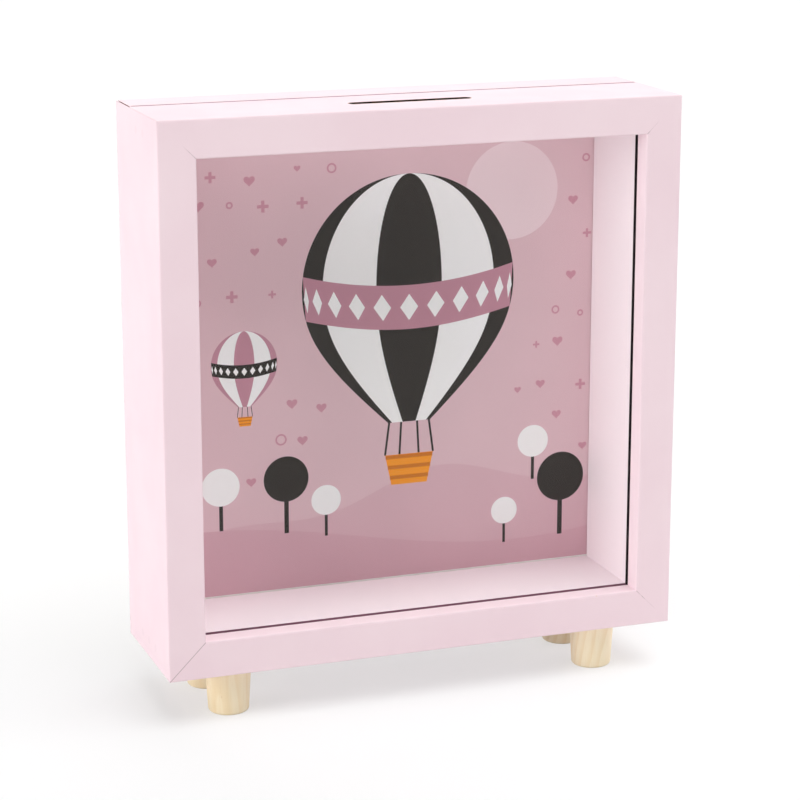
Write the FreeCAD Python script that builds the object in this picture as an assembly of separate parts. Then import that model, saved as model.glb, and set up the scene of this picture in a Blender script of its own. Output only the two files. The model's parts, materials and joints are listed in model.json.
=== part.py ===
import FreeCAD, Part
import math
import os

# A wooden money box built like a deep picture frame. Four boards, mitred at the corners, make the case.
# A clear pane sits in a groove near the front. The back runs in a second groove: it is a printed panel
# hung from a strip that completes the top of the case, and it lifts out upwards to empty the box.
# Four turned feet are dowelled into the bottom board.
# Millimetres. X is the width, Y runs from front to back, Z is up.
# The origin is on the table, under the middle of the case.

# Case
case_width = 200.0
case_height = 205.0
case_depth = 58.0
board_thickness = 14.0
edge_round = 0.6

# Clear front pane and its groove, measured back from the front edge of the boards
front_lip = 7.8
glass_thickness = 2.0
glass_play = 0.4
glass_groove_depth = 5.0
glass_edge_gap = 0.5

# Coin slot, cut through the middle of the top board
slot_length = 47.0
slot_width = 4.4

# Lift-out back, measured forward from the back edge of the boards
rear_lip = 7.0
panel_thickness = 3.0
print_thickness = 0.25
panel_play = 0.3
back_groove_depth = 5.5
panel_edge_gap = 0.5
lid_depth = 18.5
lid_gap = 0.6
lid_mitre_gap = 0.4

# Turned feet
foot_height = 18.5
foot_top_diameter = 17.3
foot_bottom_diameter = 15.3
foot_edge_round = 1.2
foot_inset_side = 26.2
foot_inset_front = 14.4

# Dowels that join the feet to the bottom board
dowel_diameter = 6.0
dowel_in_foot = 10.0
dowel_in_board = 8.0
dowel_chamfer = 0.6
dowel_play = 0.05
dowel_end_gap = 0.4

# Brads of flat wire that pin the mitres, driven in from the sides and set under the paint
brad_length = 18.0
brad_wire_width = 1.2
brad_wire_thickness = 1.0
brad_head_width = 2.0
brad_head_height = 0.8
brad_point = 1.5
brad_set_depth = 0.6
brad_play = 0.03
brads_in_top_mitre = 2
brads_in_bottom_mitre = 3

# Places that follow from the sizes above
case_bottom_z = foot_height
case_middle_z = case_bottom_z + case_height / 2
case_top_z = case_bottom_z + case_height
front_y = -case_depth / 2
opening_width = case_width - 2 * board_thickness
opening_height = case_height - 2 * board_thickness
glass_groove_width = glass_thickness + glass_play
back_stack = panel_thickness + print_thickness
back_groove_width = back_stack + 2 * panel_play
back_groove_start = case_depth - rear_lip - back_groove_width
top_board_depth = case_depth - lid_depth - lid_gap
lid_front = case_depth - lid_depth
foot_places = {
    "front_left": (-1, -1),
    "front_right": (1, -1),
    "rear_left": (-1, 1),
    "rear_right": (1, 1),
}
corners = {
    "top_left": (-1, 1),
    "top_right": (1, 1),
    "bottom_left": (-1, -1),
    "bottom_right": (1, -1),
}


def vector(x, y, z):
    return FreeCAD.Vector(x, y, z)


def box(x_range, y_range, z_range):
    """A block between two limits on each axis."""
    low = vector(x_range[0], y_range[0], z_range[0])
    size = [high - start for start, high in (x_range, y_range, z_range)]
    return Part.makeBox(*size, low)


def prism(points, height):
    """A closed outline swept along a vector."""
    return Part.Face(Part.makePolygon(points + points[:1])).extrude(height)


def revolved(profile):
    """A closed (radius, height) outline of straight runs turned about the Z axis."""
    points = [vector(radius, 0, height) for radius, height in profile]
    face = Part.Face(Part.makePolygon(points + points[:1]))
    return face.revolve(vector(0, 0, 0), vector(0, 0, 1), 360)


def runs_along_x(edge, y, z):
    """True for an edge parallel to X at that depth and height."""
    ends = [vertex.Point for vertex in edge.Vertexes]
    return all(abs(p.y - y) < 1e-6 and abs(p.z - z) < 1e-6 for p in ends)


def grooved_board(length, depth, grooves):
    """A board lying on its outer face along X, front edge at Y 0, its four long edges eased.

    Each groove is (start, width, depth of cut), in the inner face, measured back from the front edge.
    """
    inner = board_thickness
    section = [(0, 0), (0, inner)]
    for start, width, cut in grooves:
        end = start + width
        section += [(start, inner), (start, inner - cut), (end, inner - cut), (end, inner)]
    section += [(depth, inner), (depth, 0)]
    outline = [vector(-length / 2, y, z) for y, z in section]
    board = prism(outline, vector(length, 0, 0))
    long_edges = [
        edge
        for edge in board.Edges
        for y in (0, depth)
        for z in (0, inner)
        if runs_along_x(edge, y, z)
    ]
    return board.makeFillet(edge_round, long_edges)


def mitred(board, length, depth, gap=0.0):
    """The board with both ends cut at 45 degrees, each cut face drawn in by the gap."""
    half = length / 2 - gap * math.sqrt(2)
    outline = [
        vector(-half, 0, 0),
        vector(half, 0, 0),
        vector(half - board_thickness, 0, board_thickness),
        vector(-half + board_thickness, 0, board_thickness),
    ]
    return board.common(prism(outline, vector(0, depth, 0)))


def case_silhouette():
    """The whole case as one block, with the four corners that run from front to back eased."""
    block = box(
        (-case_width / 2, case_width / 2),
        (front_y, front_y + case_depth),
        (case_bottom_z, case_top_z),
    )
    upright = vector(0, 1, 0)
    depth_edges = [
        edge for edge in block.Edges if abs(abs(edge.tangentAt(edge.FirstParameter).dot(upright)) - 1) < 1e-6
    ]
    return block.makeFillet(edge_round, depth_edges)


def on_case(board, turn, half_span, setback=0.0):
    """The board turned about Y onto its side of the case, with its front edge at that setback."""
    placed = board.copy()
    placed.translate(vector(0, front_y + setback, -half_span))
    placed.rotate(vector(0, 0, 0), vector(0, 1, 0), turn)
    placed.translate(vector(0, 0, case_middle_z))
    return placed.common(case_silhouette())


def brad(play=0.0):
    """A T-headed pin along Z with its head at Z 0 and a chisel point below; with play, its hole."""
    shank = brad_wire_width / 2 + play
    head = brad_head_width / 2 + play
    under_head = -brad_head_height - play
    tip = -brad_length - play
    half = [(head, play), (head, under_head), (shank, under_head), (shank, tip + brad_point), (0, tip)]
    other_half = [(-x, z) for x, z in half[-2::-1]]
    thickness = brad_wire_thickness + 2 * play
    outline = [vector(x, -thickness / 2, z) for x, z in half + other_half]
    return prism(outline, vector(0, thickness, 0))


def brads_at(corner, play=0.0):
    """The pins of one mitre, spread between the glass groove and the next groove or edge behind it."""
    side, level = corners[corner]
    behind_glass = front_lip + glass_groove_width
    if level > 0:
        count, end = brads_in_top_mitre, top_board_depth
    else:
        count, end = brads_in_bottom_mitre, back_groove_start
    pitch = (end - behind_glass) / (count + 1)
    pins = []
    for number in range(count):
        pin = brad(play)
        pin.rotate(vector(0, 0, 0), vector(0, 1, 0), 90 * side)
        pin.translate(
            vector(
                side * (case_width / 2 - brad_set_depth),
                front_y + behind_glass + pitch * (number + 1),
                case_middle_z + level * (case_height - board_thickness) / 2,
            )
        )
        pins.append(pin)
    return pins


def foot_centre(place):
    """Where a foot stands, under the case."""
    side, row = foot_places[place]
    return vector(side * (case_width / 2 - foot_inset_side), row * (case_depth / 2 - foot_inset_front), 0)


def dowel(place):
    """A dowel with chamfered ends, standing on the floor of the hole in its foot."""
    radius = dowel_diameter / 2
    low = foot_height - dowel_in_foot
    high = foot_height + dowel_in_board
    chamfer = dowel_chamfer
    peg = revolved(
        [
            (0, low),
            (radius - chamfer, low),
            (radius, low + chamfer),
            (radius, high - chamfer),
            (radius - chamfer, high),
            (0, high),
        ]
    )
    peg.translate(foot_centre(place))
    return peg


def dowel_hole(place):
    """The flat-ended hole for a dowel, in the foot and the bottom board together."""
    low = foot_centre(place) + vector(0, 0, foot_height - dowel_in_foot)
    length = dowel_in_foot + dowel_in_board + dowel_end_gap
    return Part.makeCylinder(dowel_diameter / 2 + dowel_play, length, low)


def foot(place):
    """A tapered turned foot, its lower rim rounded off in two flats, drilled from above for its dowel."""
    top = foot_top_diameter / 2
    rim = foot_bottom_diameter / 2
    eased = foot_edge_round
    corner = eased * (1 - math.sqrt(0.5))
    body = revolved(
        [
            (0, 0),
            (rim - eased, 0),
            (rim - corner, corner),
            (rim, eased),
            (top, foot_height),
            (0, foot_height),
        ]
    )
    body.translate(foot_centre(place))
    return body.cut(dowel_hole(place))


def coin_slot():
    """A round-ended slot through the top board, midway between its front and back edges."""
    middle_y = front_y + top_board_depth / 2
    radius = slot_width / 2
    reach = slot_length / 2 - radius
    low = case_top_z - board_thickness
    left_end = [vector(-reach, middle_y - radius, low), vector(-reach - radius, middle_y, low)]
    right_end = [vector(reach, middle_y + radius, low), vector(reach + radius, middle_y, low)]
    back_left = vector(-reach, middle_y + radius, low)
    front_right = vector(reach, middle_y - radius, low)
    outline = Part.Wire(
        [
            Part.LineSegment(left_end[0], front_right).toShape(),
            Part.Arc(front_right, right_end[1], right_end[0]).toShape(),
            Part.LineSegment(right_end[0], back_left).toShape(),
            Part.Arc(back_left, left_end[1], left_end[0]).toShape(),
        ]
    )
    return Part.Face(outline).extrude(vector(0, 0, board_thickness))


def case_boards():
    """The four boards of the case, mitred, grooved, drilled for the brads and dowels and slotted."""
    glass_groove = (front_lip, glass_groove_width, glass_groove_depth)
    back_groove = (back_groove_start, back_groove_width, back_groove_depth)
    both = [glass_groove, back_groove]
    # side: (turn about Y, half of the case across that side, length, depth, grooves)
    layout = {
        "bottom": (0, case_height / 2, case_width, case_depth, both),
        "right": (-90, case_width / 2, case_height, case_depth, both),
        "top": (180, case_height / 2, case_width, top_board_depth, [glass_groove]),
        "left": (90, case_width / 2, case_height, case_depth, both),
    }
    boards = {}
    for side, (turn, half_span, length, depth, grooves) in layout.items():
        board = mitred(grooved_board(length, depth, grooves), length, depth)
        boards[side] = on_case(board, turn, half_span)
    for corner in corners:
        level, side = corner.split("_")
        for hole in brads_at(corner, brad_play):
            boards[level] = boards[level].cut(hole)
            boards[side] = boards[side].cut(hole)
    for place in foot_places:
        boards["bottom"] = boards["bottom"].cut(dowel_hole(place))
    boards["top"] = boards["top"].cut(coin_slot())
    return boards


def front_glass():
    """The pane, standing on the floor of the bottom board's groove."""
    width = opening_width + 2 * (glass_groove_depth - glass_edge_gap)
    height = opening_height + 2 * (glass_groove_depth - glass_edge_gap)
    y = front_y + front_lip + glass_play / 2
    z = case_bottom_z + board_thickness - glass_groove_depth
    return box((-width / 2, width / 2), (y, y + glass_thickness), (z, z + height))


def lid_strip():
    """The strip that completes the top of the case, grooved underneath for the back panel."""
    groove = (back_groove_start + panel_play - lid_front, back_stack, back_groove_depth)
    board = grooved_board(case_width, lid_depth, [groove])
    board = mitred(board, case_width, lid_depth, lid_mitre_gap)
    return on_case(board, 180, case_height / 2, lid_front)


def back_sheet(front, thickness):
    """A flat sheet of the back's full size, from the bottom groove up into the lid strip."""
    width = opening_width + 2 * (back_groove_depth - panel_edge_gap)
    low = case_bottom_z + board_thickness - back_groove_depth
    high = case_top_z - board_thickness + back_groove_depth
    y = front_y + front
    return box((-width / 2, width / 2), (y, y + thickness), (low, high))


def all_nodes():
    """Every piece of the money box, by name."""
    nodes = {f"case_{side}": board for side, board in case_boards().items()}
    nodes["front_glass"] = front_glass()
    print_front = back_groove_start + panel_play
    nodes["print_sheet"] = back_sheet(print_front, print_thickness)
    nodes["back_panel"] = back_sheet(print_front + print_thickness, panel_thickness)
    nodes["lid_strip"] = lid_strip()
    for place in foot_places:
        nodes[f"foot_{place}"] = foot(place)
        nodes[f"foot_dowel_{place}"] = dowel(place)
    for corner in corners:
        nodes[f"corner_brads_{corner}"] = Part.makeCompound(brads_at(corner))
    return nodes


def main():
    os.makedirs("parts", exist_ok=True)
    for name, shape in all_nodes().items():
        shape.exportStep(f"parts/{name}.step")


main()
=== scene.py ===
import json
import math
import random

import bmesh
import bpy
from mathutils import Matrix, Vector, geometry

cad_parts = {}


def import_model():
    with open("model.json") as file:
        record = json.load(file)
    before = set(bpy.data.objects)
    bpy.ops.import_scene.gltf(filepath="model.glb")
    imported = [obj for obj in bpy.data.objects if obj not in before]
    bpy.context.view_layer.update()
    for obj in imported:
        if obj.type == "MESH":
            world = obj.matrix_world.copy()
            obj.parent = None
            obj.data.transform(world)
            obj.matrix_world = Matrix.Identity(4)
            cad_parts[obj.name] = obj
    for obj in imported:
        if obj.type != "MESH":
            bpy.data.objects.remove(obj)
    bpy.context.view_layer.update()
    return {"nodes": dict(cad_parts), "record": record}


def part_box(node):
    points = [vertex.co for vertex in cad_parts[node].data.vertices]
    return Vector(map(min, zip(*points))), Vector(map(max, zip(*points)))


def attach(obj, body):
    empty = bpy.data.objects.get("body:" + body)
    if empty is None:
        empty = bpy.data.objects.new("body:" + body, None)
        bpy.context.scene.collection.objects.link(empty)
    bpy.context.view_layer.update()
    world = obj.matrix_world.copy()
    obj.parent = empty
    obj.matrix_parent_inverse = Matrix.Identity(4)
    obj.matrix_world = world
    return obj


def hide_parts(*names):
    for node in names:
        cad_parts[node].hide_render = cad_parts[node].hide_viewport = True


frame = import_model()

# The looks of a wooden money box: painted boards, a clear pane, a printed back and turned feet.
# Metres, in the row's frame: X across, Y from the front towards the back, Z up, the table at Z 0.
MM = 0.001

# Places read from the frame
right_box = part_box("case_right")
top_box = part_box("case_top")
bottom_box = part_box("case_bottom")
glass_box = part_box("front_glass")
panel_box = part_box("back_panel")
print_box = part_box("print_sheet")
lid_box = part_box("lid_strip")
openings = {entry["name"]: entry["box_m"] for entry in frame["record"]["physics"]["openings"]}
slot_low, slot_high = (Vector(corner) for corner in openings["coin_slot"])

half_width = right_box[1].x
board = right_box[1].x - right_box[0].x
half_height = (top_box[1].z - bottom_box[0].z) / 2
middle_z = (top_box[1].z + bottom_box[0].z) / 2
opening_half_height = half_height - board
slot_middle_y = (slot_low.y + slot_high.y) / 2
seam_y = (top_box[1].y + lid_box[0].y) / 2

# Sizes that only the looks need
slot_half_length = 23.5 * MM
slot_half_width = 2.2 * MM
slot_margin = 0.45 * MM
slot_rim_low = 0.2 * MM
slot_rim_high = 0.5 * MM
groove_play = 0.35 * MM
groove_floor = 8.0 * MM
mitre_line = 0.15 * MM
seam_reach = 0.95 * MM
brad_thickness = 1.0 * MM
brad_mark = 1.3 * MM
foot_rim_round = 1.2 * MM
foot_bottom_radius = 7.65 * MM
foot_rim_steps = 8
foot_sides = 96
foot_smooth_angle = math.radians(35)
pine_ring_width = 3.1 * MM
beech_ring_width = 1.6 * MM
# Across X, where painted shade darkens the left sides of the left feet
painted_shade_from = -70 * MM
painted_shade_to = -84 * MM
# Where the tree's heart stands at the table, and how far it leans per metre of height
heart_x, heart_y = -12 * MM, 75 * MM
heart_lean_x, heart_lean_y = 0.06, -0.22


def srgb(red, green, blue):
    """A colour written as it looks, 0 to 255, as the linear colour that a shader takes."""
    return tuple(
        c / 12.92 if c <= 0.04045 else ((c + 0.055) / 1.055) ** 2.4
        for c in (red / 255, green / 255, blue / 255)
    ) + (1.0,)


PAINT = srgb(243, 221, 227)
PAINT_DEEP = srgb(240, 216, 223)
# Painted light: the paint made paler inside the case
PAINTED_LIGHT_INSIDE = srgb(254, 242, 246)
# Painted shade for the eased edges; also the filler in the brad holes
PAINT_EDGE_SHADE_AND_FILLER = srgb(228, 204, 211)
# Painted shade in the seam before the lift-out strip
SEAM_SHADE = srgb(158, 120, 132)
MITRE_DARK = srgb(138, 112, 112)
# Painted shade in the pane's groove
GROOVE_SHADE = srgb(26, 14, 18)
GROOVE_SHADE_PLUM = srgb(166, 114, 134)
# Painted shade on the walls of the coin slot
SLOT_SHADE = srgb(24, 13, 4)
SLOT_SHADE_STREAK = srgb(70, 43, 19)
RAW_BOARD = srgb(200, 166, 124)
RAW_BOARD_TONE = srgb(194, 159, 116)
RAW_BOARD_DARK = srgb(158, 122, 82)
RAW_BOARD_PALE = srgb(218, 190, 152)
# Early wood, late wood and pores of each wood
PINE = (srgb(251, 236, 205), srgb(240, 214, 167), srgb(216, 179, 126))
BEECH = (srgb(222, 190, 150), srgb(204, 164, 120), srgb(176, 134, 92))
FOOT_SIDE_PAINTED_SHADE = (0.85, 0.83, 0.78, 1.0)
WIRE_DARK = srgb(150, 150, 152)
WIRE_PALE = srgb(190, 190, 192)
WHITE = (1, 1, 1, 1)
PANE_CLEAR = (0.988, 0.994, 0.992, 1)
PANE_IOR = 1.2


class Graph:
    """A material's node tree, with short calls for the nodes used here."""

    def __init__(self, name):
        self.material = bpy.data.materials.new(name)
        self.material.use_nodes = True
        self.tree = self.material.node_tree
        self.shader = self.tree.nodes["Principled BSDF"]
        self.output = self.tree.nodes["Material Output"]

    def set(self, node, inputs):
        """Gives each input a value, or links it to another node's output."""
        for key, value in inputs.items():
            if isinstance(value, bpy.types.NodeSocket):
                self.tree.links.new(value, node.inputs[key])
            else:
                node.inputs[key].default_value = value

    def add(self, kind, inputs=None, **settings):
        node = self.tree.nodes.new(kind)
        for key, value in settings.items():
            setattr(node, key, value)
        self.set(node, inputs or {})
        return node

    def finish(self, inputs):
        """Sets the Principled shader's inputs and returns the material."""
        self.set(self.shader, inputs)
        return self.material

    def calc(self, operation, first, second=0.0):
        return self.add("ShaderNodeMath", {0: first, 1: second}, operation=operation).outputs[0]

    def largest(self, *values):
        result = values[0]
        for value in values[1:]:
            result = self.calc("MAXIMUM", result, value)
        return result

    def product(self, *factors):
        result = factors[0]
        for factor in factors[1:]:
            result = self.calc("MULTIPLY", result, factor)
        return result

    def distance(self, first, second):
        """How far a point is away, from its offsets along two axes."""
        squares = self.calc("ADD", self.product(first, first), self.product(second, second))
        return self.calc("SQRT", squares)

    def ramp(self, value, start, end, low=0.0, high=1.0):
        """A smooth step from low to high as the value goes from start to end."""
        inputs = {"Value": value, "From Min": start, "From Max": end, "To Min": low, "To Max": high}
        return self.add("ShaderNodeMapRange", inputs, interpolation_type="SMOOTHSTEP").outputs[0]

    def band(self, value, middle, reach, soft):
        """1 within the reach of the middle, 0 outside it."""
        away = self.calc("ABSOLUTE", self.calc("SUBTRACT", value, middle))
        return self.ramp(away, reach + soft, reach - soft)

    def place(self, stretch=(1, 1, 1)):
        """The point on the object in the row's frame, stretched for grain that runs one way."""
        point = self.add("ShaderNodeTexCoord").outputs["Object"]
        if stretch == (1, 1, 1):
            return point
        return self.add("ShaderNodeMapping", {"Vector": point, "Scale": stretch}).outputs[0]

    def split(self, vector):
        return self.add("ShaderNodeSeparateXYZ", {0: vector}).outputs

    def facing(self):
        """How far the face looks along each axis, signs dropped."""
        normal = self.split(self.add("ShaderNodeNewGeometry").outputs["True Normal"])
        return [self.calc("ABSOLUTE", part) for part in normal]

    def noise(self, vector, scale, detail=2.0, rough=0.5):
        inputs = {"Vector": vector, "Scale": scale, "Detail": detail, "Roughness": rough}
        return self.add("ShaderNodeTexNoise", inputs).outputs[0]

    def mix(self, factor, first, second):
        node = self.add("ShaderNodeMix", data_type="RGBA")
        self.set(node, {0: factor, 6: first, 7: second})
        return node.outputs[2]

    def tint(self, factor, colour, shade):
        """The colour, taken towards its product with the shade."""
        node = self.add("ShaderNodeMix", data_type="RGBA", blend_type="MULTIPLY")
        self.set(node, {0: factor, 6: colour, 7: shade})
        return node.outputs[2]

    def bump(self, height, strength, distance):
        inputs = {"Height": height, "Strength": strength, "Distance": distance}
        return self.add("ShaderNodeBump", inputs).outputs[0]


def brad_places():
    """Depth and height of every brad's head, the same on both sides of the case."""
    places = []
    for node, count in (("corner_brads_top_left", 2), ("corner_brads_bottom_left", 3)):
        low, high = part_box(node)
        reach = (high.y - low.y) - brad_thickness
        for number in range(count):
            depth = low.y + brad_thickness / 2 + reach * number / (count - 1)
            places.append((depth, (low.z + high.z) / 2))
    return places


def raw_board_colour(graph):
    """Bare fibreboard: short pale and dark fibres in a tan ground, and their relief."""
    place = graph.place()
    clouds = graph.noise(place, 30.0, 2.0)
    tan = graph.mix(graph.ramp(clouds, 0.25, 0.75), RAW_BOARD, RAW_BOARD_TONE)
    upright = graph.noise(graph.place((1700, 1700, 420)), 1.0, 3.0, 0.6)
    lying = graph.noise(graph.place((420, 1700, 1700)), 1.0, 3.0, 0.6)
    tan = graph.mix(graph.product(graph.ramp(upright, 0.5, 0.75), 0.55), tan, RAW_BOARD_DARK)
    tan = graph.mix(graph.product(graph.ramp(lying, 0.55, 0.78), 0.6), tan, RAW_BOARD_PALE)
    return tan, graph.calc("SUBTRACT", lying, upright)


def painted_board():
    """Pale pink satin paint on fibreboard, bare on the mitred ends and the back's groove, painted shade in
    the pane's groove and the coin slot.
    """
    graph = Graph("painted_board")
    place = graph.place()
    x, y, z = graph.split(place)
    face_x, face_y, face_z = graph.facing()
    from_side = graph.calc("SUBTRACT", half_width, graph.calc("ABSOLUTE", x))
    height = graph.calc("SUBTRACT", z, middle_z)
    from_end = graph.calc("SUBTRACT", half_height, graph.calc("ABSOLUTE", height))
    depth_in = graph.calc("MINIMUM", from_side, from_end)

    # Paint: broad clouds of tone, painted light inside the case, painted shade on the eased edges, rare
    # chips there
    clouds = graph.noise(place, 22.0, 3.0)
    paint = graph.mix(graph.ramp(clouds, 0.3, 0.7), PAINT, PAINT_DEEP)
    # Painted light: the inner faces paler than the paint outside, partly on the lip, fully behind the pane
    within = graph.ramp(depth_in, board - 0.5 * MM, board - 0.1 * MM)
    painted_light_behind_pane = graph.ramp(y, glass_box[0].y, glass_box[1].y, 0.35, 1.0)
    paint = graph.mix(graph.product(within, painted_light_behind_pane), paint, PAINTED_LIGHT_INSIDE)
    flattest = graph.largest(face_x, face_y, face_z)
    eased = graph.ramp(flattest, 0.995, 0.85)
    # Painted shade: the eased edges darkened in patches, so that they don't catch a highlight
    painted_edge_shade = graph.ramp(graph.noise(place, 28.0, 2.0), 0.3, 0.7, 0.35, 0.65)
    paint = graph.mix(graph.product(eased, painted_edge_shade), paint, PAINT_EDGE_SHADE_AND_FILLER)
    chipped = graph.ramp(graph.noise(place, 210.0, 2.0), 0.69, 0.73)
    paint = graph.mix(graph.product(eased, chipped, 0.7), paint, RAW_BOARD_PALE)
    cells = graph.add("ShaderNodeTexVoronoi", {"Vector": place, "Scale": 45.0})
    speck = graph.ramp(cells.outputs["Distance"], 0.012, 0.007)
    paint = graph.mix(graph.product(speck, 0.3), paint, RAW_BOARD_DARK)

    # Filled brad holes: faint round marks on the outer sides
    filled = 0.0
    for mark_y, mark_z in brad_places():
        off_y = graph.calc("SUBTRACT", y, mark_y)
        off_z = graph.calc("SUBTRACT", z, mark_z)
        away = graph.distance(off_y, off_z)
        filled = graph.calc("ADD", filled, graph.ramp(away, brad_mark * 1.3, brad_mark))
    filled = graph.product(filled, graph.ramp(from_side, 1.0 * MM, 0.5 * MM))
    paint = graph.mix(graph.product(filled, 0.3), paint, PAINT_EDGE_SHADE_AND_FILLER)

    # Mitres: a fine dark line, open all along at the lower left and near the opening at the other corners
    off_mitre = graph.calc("ABSOLUTE", graph.calc("SUBTRACT", from_side, from_end))
    lower_left = graph.product(graph.ramp(x, 0.01, -0.01), graph.ramp(height, 0.01, -0.01))
    broken = graph.ramp(graph.noise(place, 380.0, 2.0), 0.35, 0.6, 0.15, 0.45)
    open_from = graph.ramp(height, -0.01, 0.01, 4.0 * MM, 8.5 * MM)
    near_opening = graph.product(graph.ramp(depth_in, open_from, 13.0 * MM), broken)
    opened = graph.largest(graph.product(lower_left, 0.52), near_opening)
    line = graph.product(graph.ramp(off_mitre, mitre_line * 1.8, mitre_line), graph.ramp(face_y, 0.6, 0.8))
    paint = graph.mix(graph.product(line, opened), paint, MITRE_DARK)

    # The seam in front of the lift-out strip: painted shade, darker between its eased edges
    seam_shade = graph.product(
        graph.band(y, seam_y, seam_reach, 0.05 * MM),
        graph.ramp(from_end, 2.0 * MM, 1.5 * MM),
        graph.ramp(height, 0.0, 0.01),
        graph.ramp(from_side, 0.5 * MM, 1.5 * MM),
    )
    paint = graph.mix(seam_shade, paint, SEAM_SHADE)

    # Bare board on the mitred ends and in the groove of the back; painted shade makes the pane's groove and
    # the slot dark
    raw, _ = raw_board_colour(graph)
    mitred = graph.product(
        graph.ramp(graph.calc("MINIMUM", face_x, face_z), 0.55, 0.65), graph.ramp(depth_in, 0.0, 1 * MM)
    )
    within_inner = graph.product(
        graph.ramp(depth_in, groove_floor, groove_floor + 0.2 * MM),
        graph.ramp(depth_in, board - 0.02 * MM, board - 0.06 * MM),
    )
    back_middle = (print_box[0].y + panel_box[1].y) / 2
    back_reach = (panel_box[1].y - print_box[0].y) / 2 + groove_play
    back_groove = graph.product(within_inner, graph.band(y, back_middle, back_reach, 0.02 * MM))
    bare = graph.largest(mitred, back_groove)
    glass_middle = (glass_box[0].y + glass_box[1].y) / 2
    glass_reach = (glass_box[1].y - glass_box[0].y) / 2 + groove_play
    glass_groove_shade = graph.product(within_inner, graph.band(y, glass_middle, glass_reach, 0.02 * MM))
    slot = graph.product(
        graph.band(x, 0.0, slot_half_length + slot_margin, 0.1 * MM),
        graph.band(y, slot_middle_y, slot_half_width + slot_margin, 0.1 * MM),
        graph.ramp(face_z, 0.6, 0.4),
    )

    # A worn rim of bare board on the top, round the slot's straight sides and rounded ends
    slot_straight = slot_half_length - slot_half_width
    past_end = graph.largest(graph.calc("SUBTRACT", graph.calc("ABSOLUTE", x), slot_straight), 0.0)
    off_slot = graph.calc("SUBTRACT", y, slot_middle_y)
    from_slot = graph.calc("SUBTRACT", graph.distance(past_end, off_slot), slot_half_width)
    worn = graph.ramp(graph.noise(place, 300.0, 2.0), 0.3, 0.7, slot_rim_low, slot_rim_high)
    rim = graph.product(
        graph.ramp(graph.calc("SUBTRACT", from_slot, worn), 0.08 * MM, -0.08 * MM),
        graph.ramp(from_end, 0.6 * MM, 0.3 * MM),
        graph.ramp(height, 0.0, 0.01),
    )
    colour = graph.mix(bare, paint, raw)
    along_x = graph.ramp(graph.calc("SUBTRACT", from_side, from_end), 0.0, 0.5 * MM)
    # Painted shade in the pane's groove: near black on the sides, plum along the top and bottom
    colour = graph.mix(glass_groove_shade, colour, graph.mix(along_x, GROOVE_SHADE, GROOVE_SHADE_PLUM))
    colour = graph.mix(graph.product(rim, 0.85), colour, RAW_BOARD_DARK)
    # Painted shade on the slot's walls: very dark brown, with paler brown streaks down them
    streaks = graph.noise(graph.place((900, 900, 60)), 1.0, 3.0)
    slot_shade = graph.mix(graph.ramp(streaks, 0.42, 0.7), SLOT_SHADE, SLOT_SHADE_STREAK)
    colour = graph.mix(slot, colour, slot_shade)
    cut = graph.largest(bare, glass_groove_shade, slot)

    # Satin gloss with the light orange peel of sprayed paint
    peel = graph.noise(place, 620.0, 2.0)
    waves = graph.noise(place, 55.0, 2.0)
    surface = graph.calc("ADD", graph.product(peel, 0.6), graph.product(waves, 0.4))
    surface = graph.calc("SUBTRACT", surface, graph.product(filled, 0.8))
    gloss = graph.ramp(graph.noise(place, 90.0, 3.0), 0.3, 0.7, 0.58, 0.68)
    return graph.finish(
        {
            "Base Color": colour,
            "Roughness": graph.largest(gloss, graph.product(cut, 0.85)),
            "Specular IOR Level": 0.35,
            "Normal": graph.bump(surface, 0.08, 0.2 * MM),
        }
    )


def bare_board():
    """Thin bare fibreboard, for the panel behind the print."""
    graph = Graph("bare_board")
    colour, fibres = raw_board_colour(graph)
    return graph.finish(
        {
            "Base Color": colour,
            "Roughness": graph.ramp(fibres, -0.2, 0.2, 0.75, 0.9),
            "Normal": graph.bump(fibres, 0.2, 0.1 * MM),
        }
    )


def turned_wood(name, pale, late, dark, ring_width):
    """Pale wood with its grain along Z: growth rings about a heart beyond the piece, and fine fibres."""
    graph = Graph(name)
    x, y, z = graph.split(graph.place())
    wander = graph.noise(graph.place((60, 60, 14)), 1.0, 3.0)
    off_x = graph.calc("SUBTRACT", graph.calc("SUBTRACT", x, heart_x), graph.product(z, heart_lean_x))
    off_y = graph.calc("SUBTRACT", graph.calc("SUBTRACT", y, heart_y), graph.product(z, heart_lean_y))
    away = graph.distance(off_x, off_y)
    turns = graph.calc("ADD", graph.calc("DIVIDE", away, ring_width), graph.product(wander, 2.4))
    ring = graph.calc("FRACT", turns)
    latewood = graph.product(graph.ramp(ring, 0.35, 0.85), graph.ramp(ring, 1.0, 0.9))
    fibres = graph.noise(graph.place((2200, 2200, 60)), 1.0, 4.0, 0.6)
    streaks = graph.noise(graph.place((420, 420, 9)), 1.0, 2.0)
    colour = graph.mix(graph.product(latewood, 0.36), pale, late)
    colour = graph.mix(graph.product(graph.ramp(streaks, 0.55, 0.75), 0.35), colour, late)
    colour = graph.mix(graph.product(graph.ramp(fibres, 0.55, 0.8), 0.3), colour, dark)
    pores = graph.add("ShaderNodeTexVoronoi", {"Vector": graph.place((150, 150, 70)), "Scale": 1.0})
    pin = graph.ramp(pores.outputs["Distance"], 0.07, 0.04)
    colour = graph.mix(graph.product(pin, 0.55), colour, dark)
    # Painted shade: the left side of the left feet darkened, where the light from the left falls strongest
    colour = graph.tint(graph.ramp(x, painted_shade_from, painted_shade_to), colour, FOOT_SIDE_PAINTED_SHADE)
    return graph.finish(
        {
            "Base Color": colour,
            "Roughness": graph.ramp(fibres, 0.3, 0.7, 0.5, 0.64),
            "Normal": graph.bump(fibres, 0.12, 0.1 * MM),
        }
    )


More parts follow.
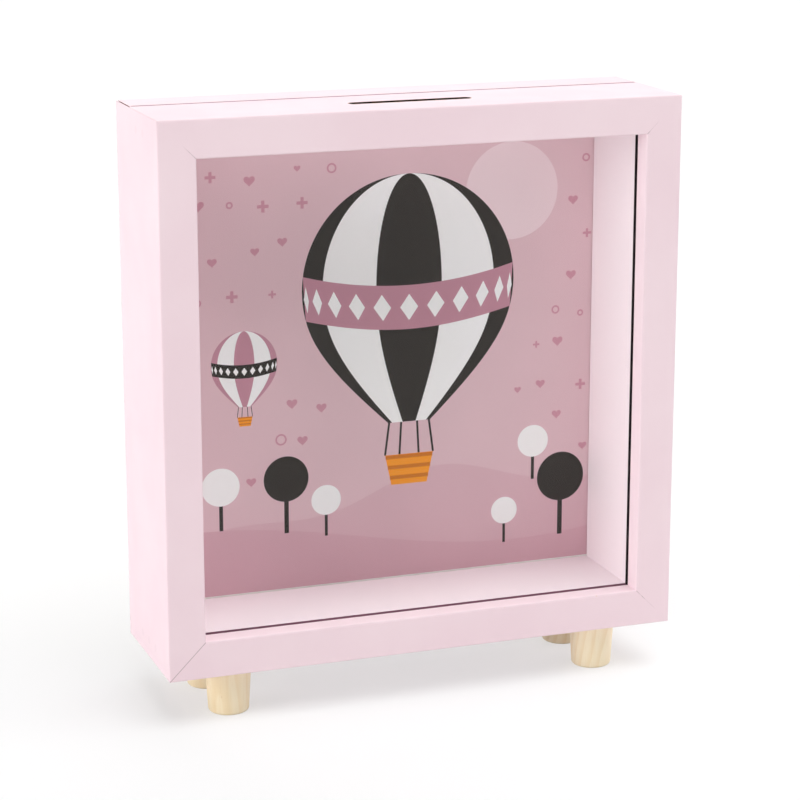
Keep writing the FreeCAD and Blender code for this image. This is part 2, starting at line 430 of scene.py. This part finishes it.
def clear_pane():
    """Thin clear glass: light goes straight through, and what is seen in it grows towards a slant."""
    graph = Graph("clear_pane")
    smears = graph.noise(graph.place((9, 9, 24)), 1.0, 3.0)
    shine = graph.add(
        "ShaderNodeBsdfGlossy",
        {"Color": WHITE, "Roughness": graph.ramp(smears, 0.35, 0.7, 0.0, 0.06)},
    )
    clear = graph.add("ShaderNodeBsdfTransparent", {"Color": PANE_CLEAR})
    inside = graph.add("ShaderNodeNewGeometry").outputs["Backfacing"]
    slant = graph.add("ShaderNodeFresnel", {"IOR": graph.ramp(inside, 0.0, 1.0, PANE_IOR, 1 / PANE_IOR)})
    path = graph.add("ShaderNodeLightPath").outputs
    lighting = graph.largest(path["Is Shadow Ray"], path["Is Diffuse Ray"])
    shown = graph.product(slant.outputs[0], graph.calc("SUBTRACT", 1.0, lighting))
    pane = graph.add("ShaderNodeMixShader", {0: shown, 1: clear.outputs[0], 2: shine.outputs[0]})
    graph.tree.nodes.remove(graph.shader)
    graph.set(graph.output, {"Surface": pane.outputs[0]})
    return graph.material


def brad_wire():
    """Drawn steel wire with fine lines along it."""
    graph = Graph("brad_wire")
    lines = graph.noise(graph.place((300, 9000, 9000)), 1.0, 2.0)
    return graph.finish(
        {
            "Base Color": graph.mix(lines, WIRE_DARK, WIRE_PALE),
            "Metallic": 1.0,
            "Roughness": graph.ramp(lines, 0.3, 0.7, 0.28, 0.45),
            "Normal": graph.bump(lines, 0.1, 0.02 * MM),
        }
    )


def ink(name, colour):
    """A flat printed colour on smooth paper, with the faint grain of the press and the paper's tooth."""
    graph = Graph(f"ink_{name}")
    place = graph.place()
    grain = graph.noise(place, 2600.0, 2.0, 0.6)
    wash = graph.noise(place, 16.0, 2.0)
    darker = tuple(part * 0.93 for part in colour[:3]) + (1.0,)
    lighter = tuple(min(1.0, part * 1.04 + 0.002) for part in colour[:3]) + (1.0,)
    tone = graph.mix(graph.ramp(wash, 0.35, 0.65), colour, lighter)
    return graph.finish(
        {
            "Base Color": graph.mix(graph.ramp(grain, 0.5, 0.75), tone, darker),
            "Roughness": graph.ramp(grain, 0.3, 0.7, 0.5, 0.6),
            "Specular IOR Level": 0.12,
            "Normal": graph.bump(grain, 0.05, 0.05 * MM),
        }
    )


# The print: a balloon over hills, drawn in millimetres from the middle of the opening
INKS = {
    "paper": srgb(253, 251, 246),
    "ground": srgb(228, 194, 201),
    "disc": srgb(240, 216, 221),
    "motif": srgb(209, 151, 166),
    "hill": srgb(222, 183, 192),
    "meadow": srgb(217, 173, 184),
    "mauve": srgb(198, 143, 159),
    "charcoal": srgb(48, 43, 39),
    "white": srgb(253, 252, 251),
    "orange": srgb(253, 161, 44),
    "rust": srgb(214, 122, 38),
}
INK_NAMES = list(INKS)
# Longitudes where a balloon's strips of cloth meet
GORES = (-90, -54, -18, 18, 54, 90)
# Middle and radius of each balloon's envelope and of the pale disc
LARGE_BALLOON = (10, 28, 43)
SMALL_BALLOON = (-56, 2, 13)
DISC = (52, 62, 19)
# Middles and radii of the rounds that the small scattered shapes keep out of, and their room about a crown
KEEP_CLEAR = [(10, 26, 52), (10, -28, 36), (-56, 0, 21), (-56, -18, 16), (52, 62, 25)]
CROWN_ROOM = 3.5
HILL_REACH = 96
PAPER_STRIP_HIGHLIGHT = 0.55
SCATTER_SEED = 7
SCATTER_PITCH, SCATTER_JITTER = 15.0, 3.5
SCATTER_ROWS = range(-6, 7)
SCATTER_SMALLEST, SCATTER_LARGEST = 2.6, 4.6
SCATTER_OVER_HILLS = 6
RING_LINE = 0.7


def circle(x, z, radius, count=48):
    steps = [math.tau * i / count for i in range(count)]
    return [(x + radius * math.cos(a), z + radius * math.sin(a)) for a in steps]


def heart(x, z, size, count=40):
    outline = []
    for i in range(count):
        a = math.tau * i / count
        across = 16 * math.sin(a) ** 3
        up = 13 * math.cos(a) - 5 * math.cos(2 * a) - 2 * math.cos(3 * a) - math.cos(4 * a)
        outline.append((x + across * size / 32, z + up * size / 32))
    return outline


def cross(x, z, size):
    arm, thick = size / 2, size / 7
    quarter = [(thick, arm), (thick, thick), (arm, thick)]
    corners = []
    for turn in range(4):
        c, s = (1, 0, -1, 0)[turn], (0, -1, 0, 1)[turn]
        corners += [(x + c * a - s * b, z + s * a + c * b) for a, b in quarter]
    return corners


def stroke(start, end, width):
    along = Vector(end) - Vector(start)
    side = Vector((-along.y, along.x)).normalized() * width / 2
    return [tuple(Vector(p) + s) for p, s in ((start, side), (start, -side), (end, -side), (end, side))]


def envelope_half_width(height, radius):
    """A balloon's half width: round above, drawn in smoothly to its mouth below."""
    join, mouth_level = -0.35 * radius, -1.25 * radius
    if height >= join:
        return math.sqrt(max(radius**2 - height**2, 0.0))
    u = (height - mouth_level) / (join - mouth_level)
    wide = math.sqrt(radius**2 - join**2)
    slope_low, slope_high = 0.95 * radius, -join / wide * (join - mouth_level)
    return (
        (2 * u**3 - 3 * u**2 + 1) * 0.2 * radius
        + (u**3 - 2 * u**2 + u) * slope_low
        + (3 * u**2 - 2 * u**3) * wide
        + (u**3 - u**2) * slope_high
    )


def balloon(x, z, radius, gore_inks, belt_ink, mark_ink):
    """An upright balloon with gores, a belt of diamonds, ropes and a basket."""
    bottom, top = -1.25 * radius, 0.9995 * radius
    levels = [bottom + (top - bottom) * math.sin(math.pi / 2 * i / 40) for i in range(41)]

    def on_skin(longitude, height, sag=0.0):
        turn = math.radians(longitude)
        level = height - sag * math.cos(turn) ** 2
        return x + envelope_half_width(level, radius) * math.sin(turn), z + level

    shapes = []
    for number, (start, end) in enumerate(zip(GORES, GORES[1:])):
        rising = [on_skin(start, level) for level in levels]
        falling = [on_skin(end, level) for level in reversed(levels)]
        shapes.append((gore_inks[number % len(gore_inks)], rising + falling))
    sag, belt_low, belt_high = 0.14 * radius, -0.26 * radius, 0.14 * radius
    sweep = range(-90, 91, 6)
    belt = [on_skin(a, belt_high, sag) for a in sweep] + [on_skin(a, belt_low, sag) for a in reversed(sweep)]
    shapes.append((belt_ink, belt))
    belt_middle, reach = (belt_low + belt_high) / 2, 0.12 * radius
    for longitude in range(-75, 76, 15):
        shapes.append(
            (
                mark_ink,
                [
                    on_skin(longitude - 5, belt_middle, sag),
                    on_skin(longitude, belt_middle - reach, sag),
                    on_skin(longitude + 5, belt_middle, sag),
                    on_skin(longitude, belt_middle + reach, sag),
                ],
            )
        )
    basket_top, basket_bottom = bottom - 0.3 * radius, bottom - 0.58 * radius
    wide, narrow = 0.23 * radius, 0.17 * radius
    for side in (-1, -0.4, 0.4, 1):
        knot, ring = (x + side * 0.19 * radius, z + bottom), (x + side * wide, z + basket_top)
        shapes.append(("charcoal", stroke(knot, ring, 0.02 * radius)))
    corners = [(-wide, basket_top), (-narrow, basket_bottom), (narrow, basket_bottom), (wide, basket_top)]
    shapes.append(("orange", [(x + a, z + b) for a, b in corners]))
    for share in (0.0, 0.34, 0.68):
        level = basket_top + (basket_bottom - basket_top) * (share + 0.08)
        half = wide + (narrow - wide) * (share + 0.08)
        shapes.append(("rust", stroke((x - half, z + level), (x + half, z + level), 0.035 * radius)))
    return shapes


def far_hill(x):
    return -56 + 9 * math.sin(x / 34 + 0.6) + 3 * math.sin(x / 13)


def near_hill(x):
    return -70 + 8 * math.sin(x / 41 + 3.4)


# Each tree: place across, the hill that it stands on, size, ink of its crown
FAR_TREES = [(-66, far_hill, 15, "white"), (62, far_hill, 13, "white")]
NEAR_TREES = [
    (-40, near_hill, 18, "charcoal"),
    (74, near_hill, 20, "charcoal"),
    (-24, near_hill, 12, "white"),
    (50, near_hill, 11, "white"),
]


def hill(height_at, reach, low):
    crest = [(x, height_at(x)) for x in range(-reach, reach + 1, 3)]
    return [(-reach, low)] + [(reach, low)] + crest[::-1]


def crown(x, height_at, size):
    """Middle and radius of a tree's round crown."""
    return x, height_at(x) - 1 + size * 1.2, size * 0.5


def tree(x, height_at, size, crown_ink):
    foot = height_at(x) - 1
    return [
        ("charcoal", stroke((x, foot), (x, foot + size), size * 0.1)),
        (crown_ink, circle(*crown(x, height_at, size), 32)),
    ]


def scattered(keep_clear):
    """Small hearts, rings and crosses on a jittered grid, clear of the larger shapes."""
    pick = random.Random(SCATTER_SEED)
    shapes = []
    for row in SCATTER_ROWS:
        for column in SCATTER_ROWS:
            x = (column + 0.5 * (row % 2)) * SCATTER_PITCH + pick.uniform(-SCATTER_JITTER, SCATTER_JITTER)
            z = row * SCATTER_PITCH + pick.uniform(-SCATTER_JITTER, SCATTER_JITTER)
            kind = pick.choice(("heart", "ring", "cross", "heart"))
            size = pick.uniform(SCATTER_SMALLEST, SCATTER_LARGEST)
            if z < max(far_hill(x), near_hill(x)) + SCATTER_OVER_HILLS:
                continue
            if any(math.hypot(x - a, z - b) < r for a, b, r in keep_clear):
                continue
            if kind == "heart":
                shapes.append(("motif", heart(x, z, size)))
            elif kind == "cross":
                shapes.append(("motif", cross(x, z, size)))
            else:
                shapes.append(("motif", circle(x, z, size / 2, 28)))
                shapes.append(("ground", circle(x, z, size / 2 - RING_LINE, 28)))
    return shapes


def artwork(width, low, high):
    """Every printed shape, the ground first and later ones over earlier ones."""
    half = width / 2
    floor = -opening_half_height / MM
    shapes = [("ground", [(-half, low), (half, low), (half, high), (-half, high)])]
    crowns = [crown(*kind[:3]) for kind in FAR_TREES + NEAR_TREES]
    shapes += scattered(KEEP_CLEAR + [(x, z, radius + CROWN_ROOM) for x, z, radius in crowns])
    shapes.append(("disc", circle(*DISC, 72)))
    shapes.append(("hill", hill(far_hill, HILL_REACH, low - 5)))
    for kind in FAR_TREES:
        shapes += tree(*kind)
    shapes.append(("meadow", hill(near_hill, HILL_REACH, low - 5)))
    for kind in NEAR_TREES:
        shapes += tree(*kind)
    shapes += balloon(*SMALL_BALLOON, ("mauve", "white"), "charcoal", "white")
    shapes += balloon(*LARGE_BALLOON, ("charcoal", "white"), "mauve", "white")
    # A strip of bare paper along the bottom of the print: painted highlight of the bright line where it
    # meets the floor
    edge = floor + PAPER_STRIP_HIGHLIGHT
    shapes.append(("paper", [(-half, low), (half, low), (half, edge), (-half, edge)]))
    return shapes


def new_piece(name, mesh, materials, smooth_angle=None):
    """An object made from a finished mesh, with its materials; smooth below that angle."""
    data = bpy.data.meshes.new(name)
    mesh.to_mesh(data)
    mesh.free()
    for material in materials:
        data.materials.append(material)
    if smooth_angle is not None:
        data.shade_smooth()
        data.set_sharp_from_angle(angle=smooth_angle)
    piece = bpy.data.objects.new(name, data)
    bpy.context.scene.collection.objects.link(piece)
    return piece


def counter_clockwise(outline):
    """The outline, turned about if need be to run counter-clockwise."""
    ahead = outline[1:] + outline[:1]
    twice_area = sum(a[0] * b[1] - b[0] * a[1] for a, b in zip(outline, ahead))
    return outline if twice_area > 0 else outline[::-1]


def printed_sheet():
    """The print as a thin closed sheet, its face cut up along the edges of the printed shapes."""
    low, high = print_box
    shapes = artwork((high.x - low.x) / MM, (low.z - middle_z) / MM, (high.z - middle_z) / MM)
    points, outlines = [], []
    for _, outline in shapes:
        outlines.append(list(range(len(points), len(points) + len(outline))))
        points += [Vector(p) for p in counter_clockwise(outline)]
    inside_only, merge = 1, 1e-4
    flat, _, triangles, _, _, sources = geometry.delaunay_2d_cdt(points, [], outlines, inside_only, merge)
    mesh = bmesh.new()
    front = [mesh.verts.new((p.x * MM, low.y, middle_z + p.y * MM)) for p in flat]
    back = [mesh.verts.new((p.x * MM, high.y, middle_z + p.y * MM)) for p in flat]
    paper = INK_NAMES.index("paper")
    faced = []
    for corners, found in zip(triangles, sources):
        if 0 in found:
            face = mesh.faces.new([front[i] for i in corners])
            face.material_index = INK_NAMES.index(shapes[max(found)][0])
            mesh.faces.new([back[i] for i in reversed(corners)]).material_index = paper
            faced.append(corners)
    sides = {}
    for corners in faced:
        for a, b in zip(corners, corners[1:] + corners[:1]):
            sides[frozenset((a, b))] = sides.get(frozenset((a, b)), []) + [(a, b)]
    for runs in sides.values():
        if len(runs) == 1:
            a, b = runs[0]
            mesh.faces.new([front[b], front[a], back[a], back[b]]).material_index = paper
    loose = [v for v in mesh.verts if not v.link_faces]
    bmesh.ops.delete(mesh, geom=loose, context="VERTS")
    bmesh.ops.recalc_face_normals(mesh, faces=mesh.faces)
    piece = new_piece("printed_sheet", mesh, [ink(name, colour) for name, colour in INKS.items()])
    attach(piece, "sliding_back")
    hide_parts("print_sheet")


def foot_profile(top_radius, height):
    """Radius and height up one side of a turned foot: rounded rim, straight taper, crisp upper edge."""
    rim, steps = foot_rim_round, foot_rim_steps
    turns = [math.pi / 2 * i / steps for i in range(steps + 1)]
    profile = [
        (foot_bottom_radius - rim + rim * math.sin(a), rim - rim * math.cos(a)) for a in turns
    ]
    return profile + [(top_radius, height)]


def turned_foot(node, material):
    """A smooth turned foot in the place of its plainer solid."""
    low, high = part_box(node)
    middle = (low + high) / 2
    profile = foot_profile((high.x - low.x) / 2, high.z - low.z)
    mesh = bmesh.new()
    rings = []
    for radius, height in profile:
        ring = []
        for i in range(foot_sides):
            a = math.tau * i / foot_sides
            ring.append(
                mesh.verts.new(
                    (middle.x + radius * math.cos(a), middle.y + radius * math.sin(a), low.z + height)
                )
            )
        rings.append(ring)
    for lower, upper in zip(rings, rings[1:]):
        for i in range(foot_sides):
            j = (i + 1) % foot_sides
            mesh.faces.new([lower[i], lower[j], upper[j], upper[i]])
    mesh.faces.new(reversed(rings[0]))
    mesh.faces.new(rings[-1])
    piece = new_piece(f"turned_{node}", mesh, [material], foot_smooth_angle)
    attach(piece, "case")
    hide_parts(node)


def dress():
    """Gives each carried-over node its material and makes the pieces that replace plainer ones."""
    paint = painted_board()
    pine = turned_wood("foot_wood", *PINE, pine_ring_width)
    beech = turned_wood("dowel_wood", *BEECH, beech_ring_width)
    finishes = {
        "case_": paint,
        "lid_": paint,
        "back_panel": bare_board(),
        "front_glass": clear_pane(),
        "foot_dowel_": beech,
        "corner_brads_": brad_wire(),
    }
    for name, node in frame["nodes"].items():
        for start, material in finishes.items():
            if name.startswith(start):
                node.data.materials.clear()
                node.data.materials.append(material)
    for name in sorted(frame["nodes"]):
        if name.startswith("foot_") and "dowel" not in name:
            turned_foot(name, pine)
    printed_sheet()


# The stage: a white floor under soft light from both sides, from above and from behind
FLOOR = (0.9, 0.9, 0.9, 1.0)
FLOOR_SIZE = 40.0
SEEN_BY = ("Is Camera Ray", "Is Glossy Ray", "Is Transmission Ray")
SHADOW_SHARE = 0.45
WORLD_LIGHT = 0.05
# name: (direction towards the light, irradiance as a share of full, spread in degrees, seen in gloss)
SUNS = {
    "left": ((-0.95, -0.20, 0.03), 1.15, 50, False),
    "right": ((0.96, -0.13, 0.06), 0.68, 50, False),
    "front_top": ((0.14, -0.25, 0.96), 0.72, 50, True),
    "back_top": ((0.42, 0.62, 0.66), 0.30, 60, True),
}
CAMERA_PLACE = (-0.3209, -0.8814, 0.3486)
CAMERA_TILT = 75.67
CAMERA_TURN = -19.98
CAMERA_LENS = 115.4


def floor():
    """A matt white floor that keeps a light shadow."""
    mesh = bmesh.new()
    bmesh.ops.create_grid(mesh, x_segments=1, y_segments=1, size=FLOOR_SIZE)
    graph = Graph("floor")
    graph.finish({"Base Color": FLOOR, "Roughness": 1.0, "Specular IOR Level": 0.0})
    white = graph.add("ShaderNodeEmission", {"Color": WHITE, "Strength": 1.0})
    path = graph.add("ShaderNodeLightPath").outputs
    seen = graph.largest(*(path[ray] for ray in SEEN_BY))
    lift = graph.product(seen, 1 - SHADOW_SHARE)
    shade = graph.add("ShaderNodeMixShader", {0: lift, 1: graph.shader.outputs[0], 2: white.outputs[0]})
    graph.set(graph.output, {"Surface": shade.outputs[0]})
    new_piece("floor", mesh, [graph.material])


def world():
    """Soft light all round; seen straight, in a reflection or through glass, it is plain white."""
    sky = bpy.data.worlds.new("studio")
    bpy.context.scene.world = sky
    sky.use_nodes = True
    nodes, links = sky.node_tree.nodes, sky.node_tree.links
    path = nodes.new("ShaderNodeLightPath")
    seen = path.outputs[SEEN_BY[0]]
    for ray in SEEN_BY[1:]:
        either = nodes.new("ShaderNodeMath")
        either.operation = "MAXIMUM"
        links.new(seen, either.inputs[0])
        links.new(path.outputs[ray], either.inputs[1])
        seen = either.outputs[0]
    strength = nodes.new("ShaderNodeMapRange")
    links.new(seen, strength.inputs["Value"])
    strength.inputs["To Min"].default_value = WORLD_LIGHT
    background = nodes["Background"]
    background.inputs["Color"].default_value = WHITE
    links.new(strength.outputs[0], background.inputs["Strength"])


def lights():
    """Broad suns with soft edges."""
    for name, (towards, share, spread, in_gloss) in SUNS.items():
        lamp = bpy.data.lights.new(name, "SUN")
        lamp.energy = share * math.pi
        lamp.angle = math.radians(spread)
        sun = bpy.data.objects.new(name, lamp)
        sun.rotation_euler = Vector(towards).to_track_quat("Z", "Y").to_euler()
        sun.visible_glossy = in_gloss
        bpy.context.scene.collection.objects.link(sun)


def camera():
    """The view of the photograph: from the left and a little above."""
    data = bpy.data.cameras.new("camera")
    data.lens = CAMERA_LENS
    view = bpy.data.objects.new("camera", data)
    view.location = CAMERA_PLACE
    view.rotation_euler = (math.radians(CAMERA_TILT), 0, math.radians(CAMERA_TURN))
    bpy.context.scene.collection.objects.link(view)
    bpy.context.scene.camera = view


dress()
floor()
world()
lights()
camera()
bpy.context.scene.view_settings.view_transform = "Standard"
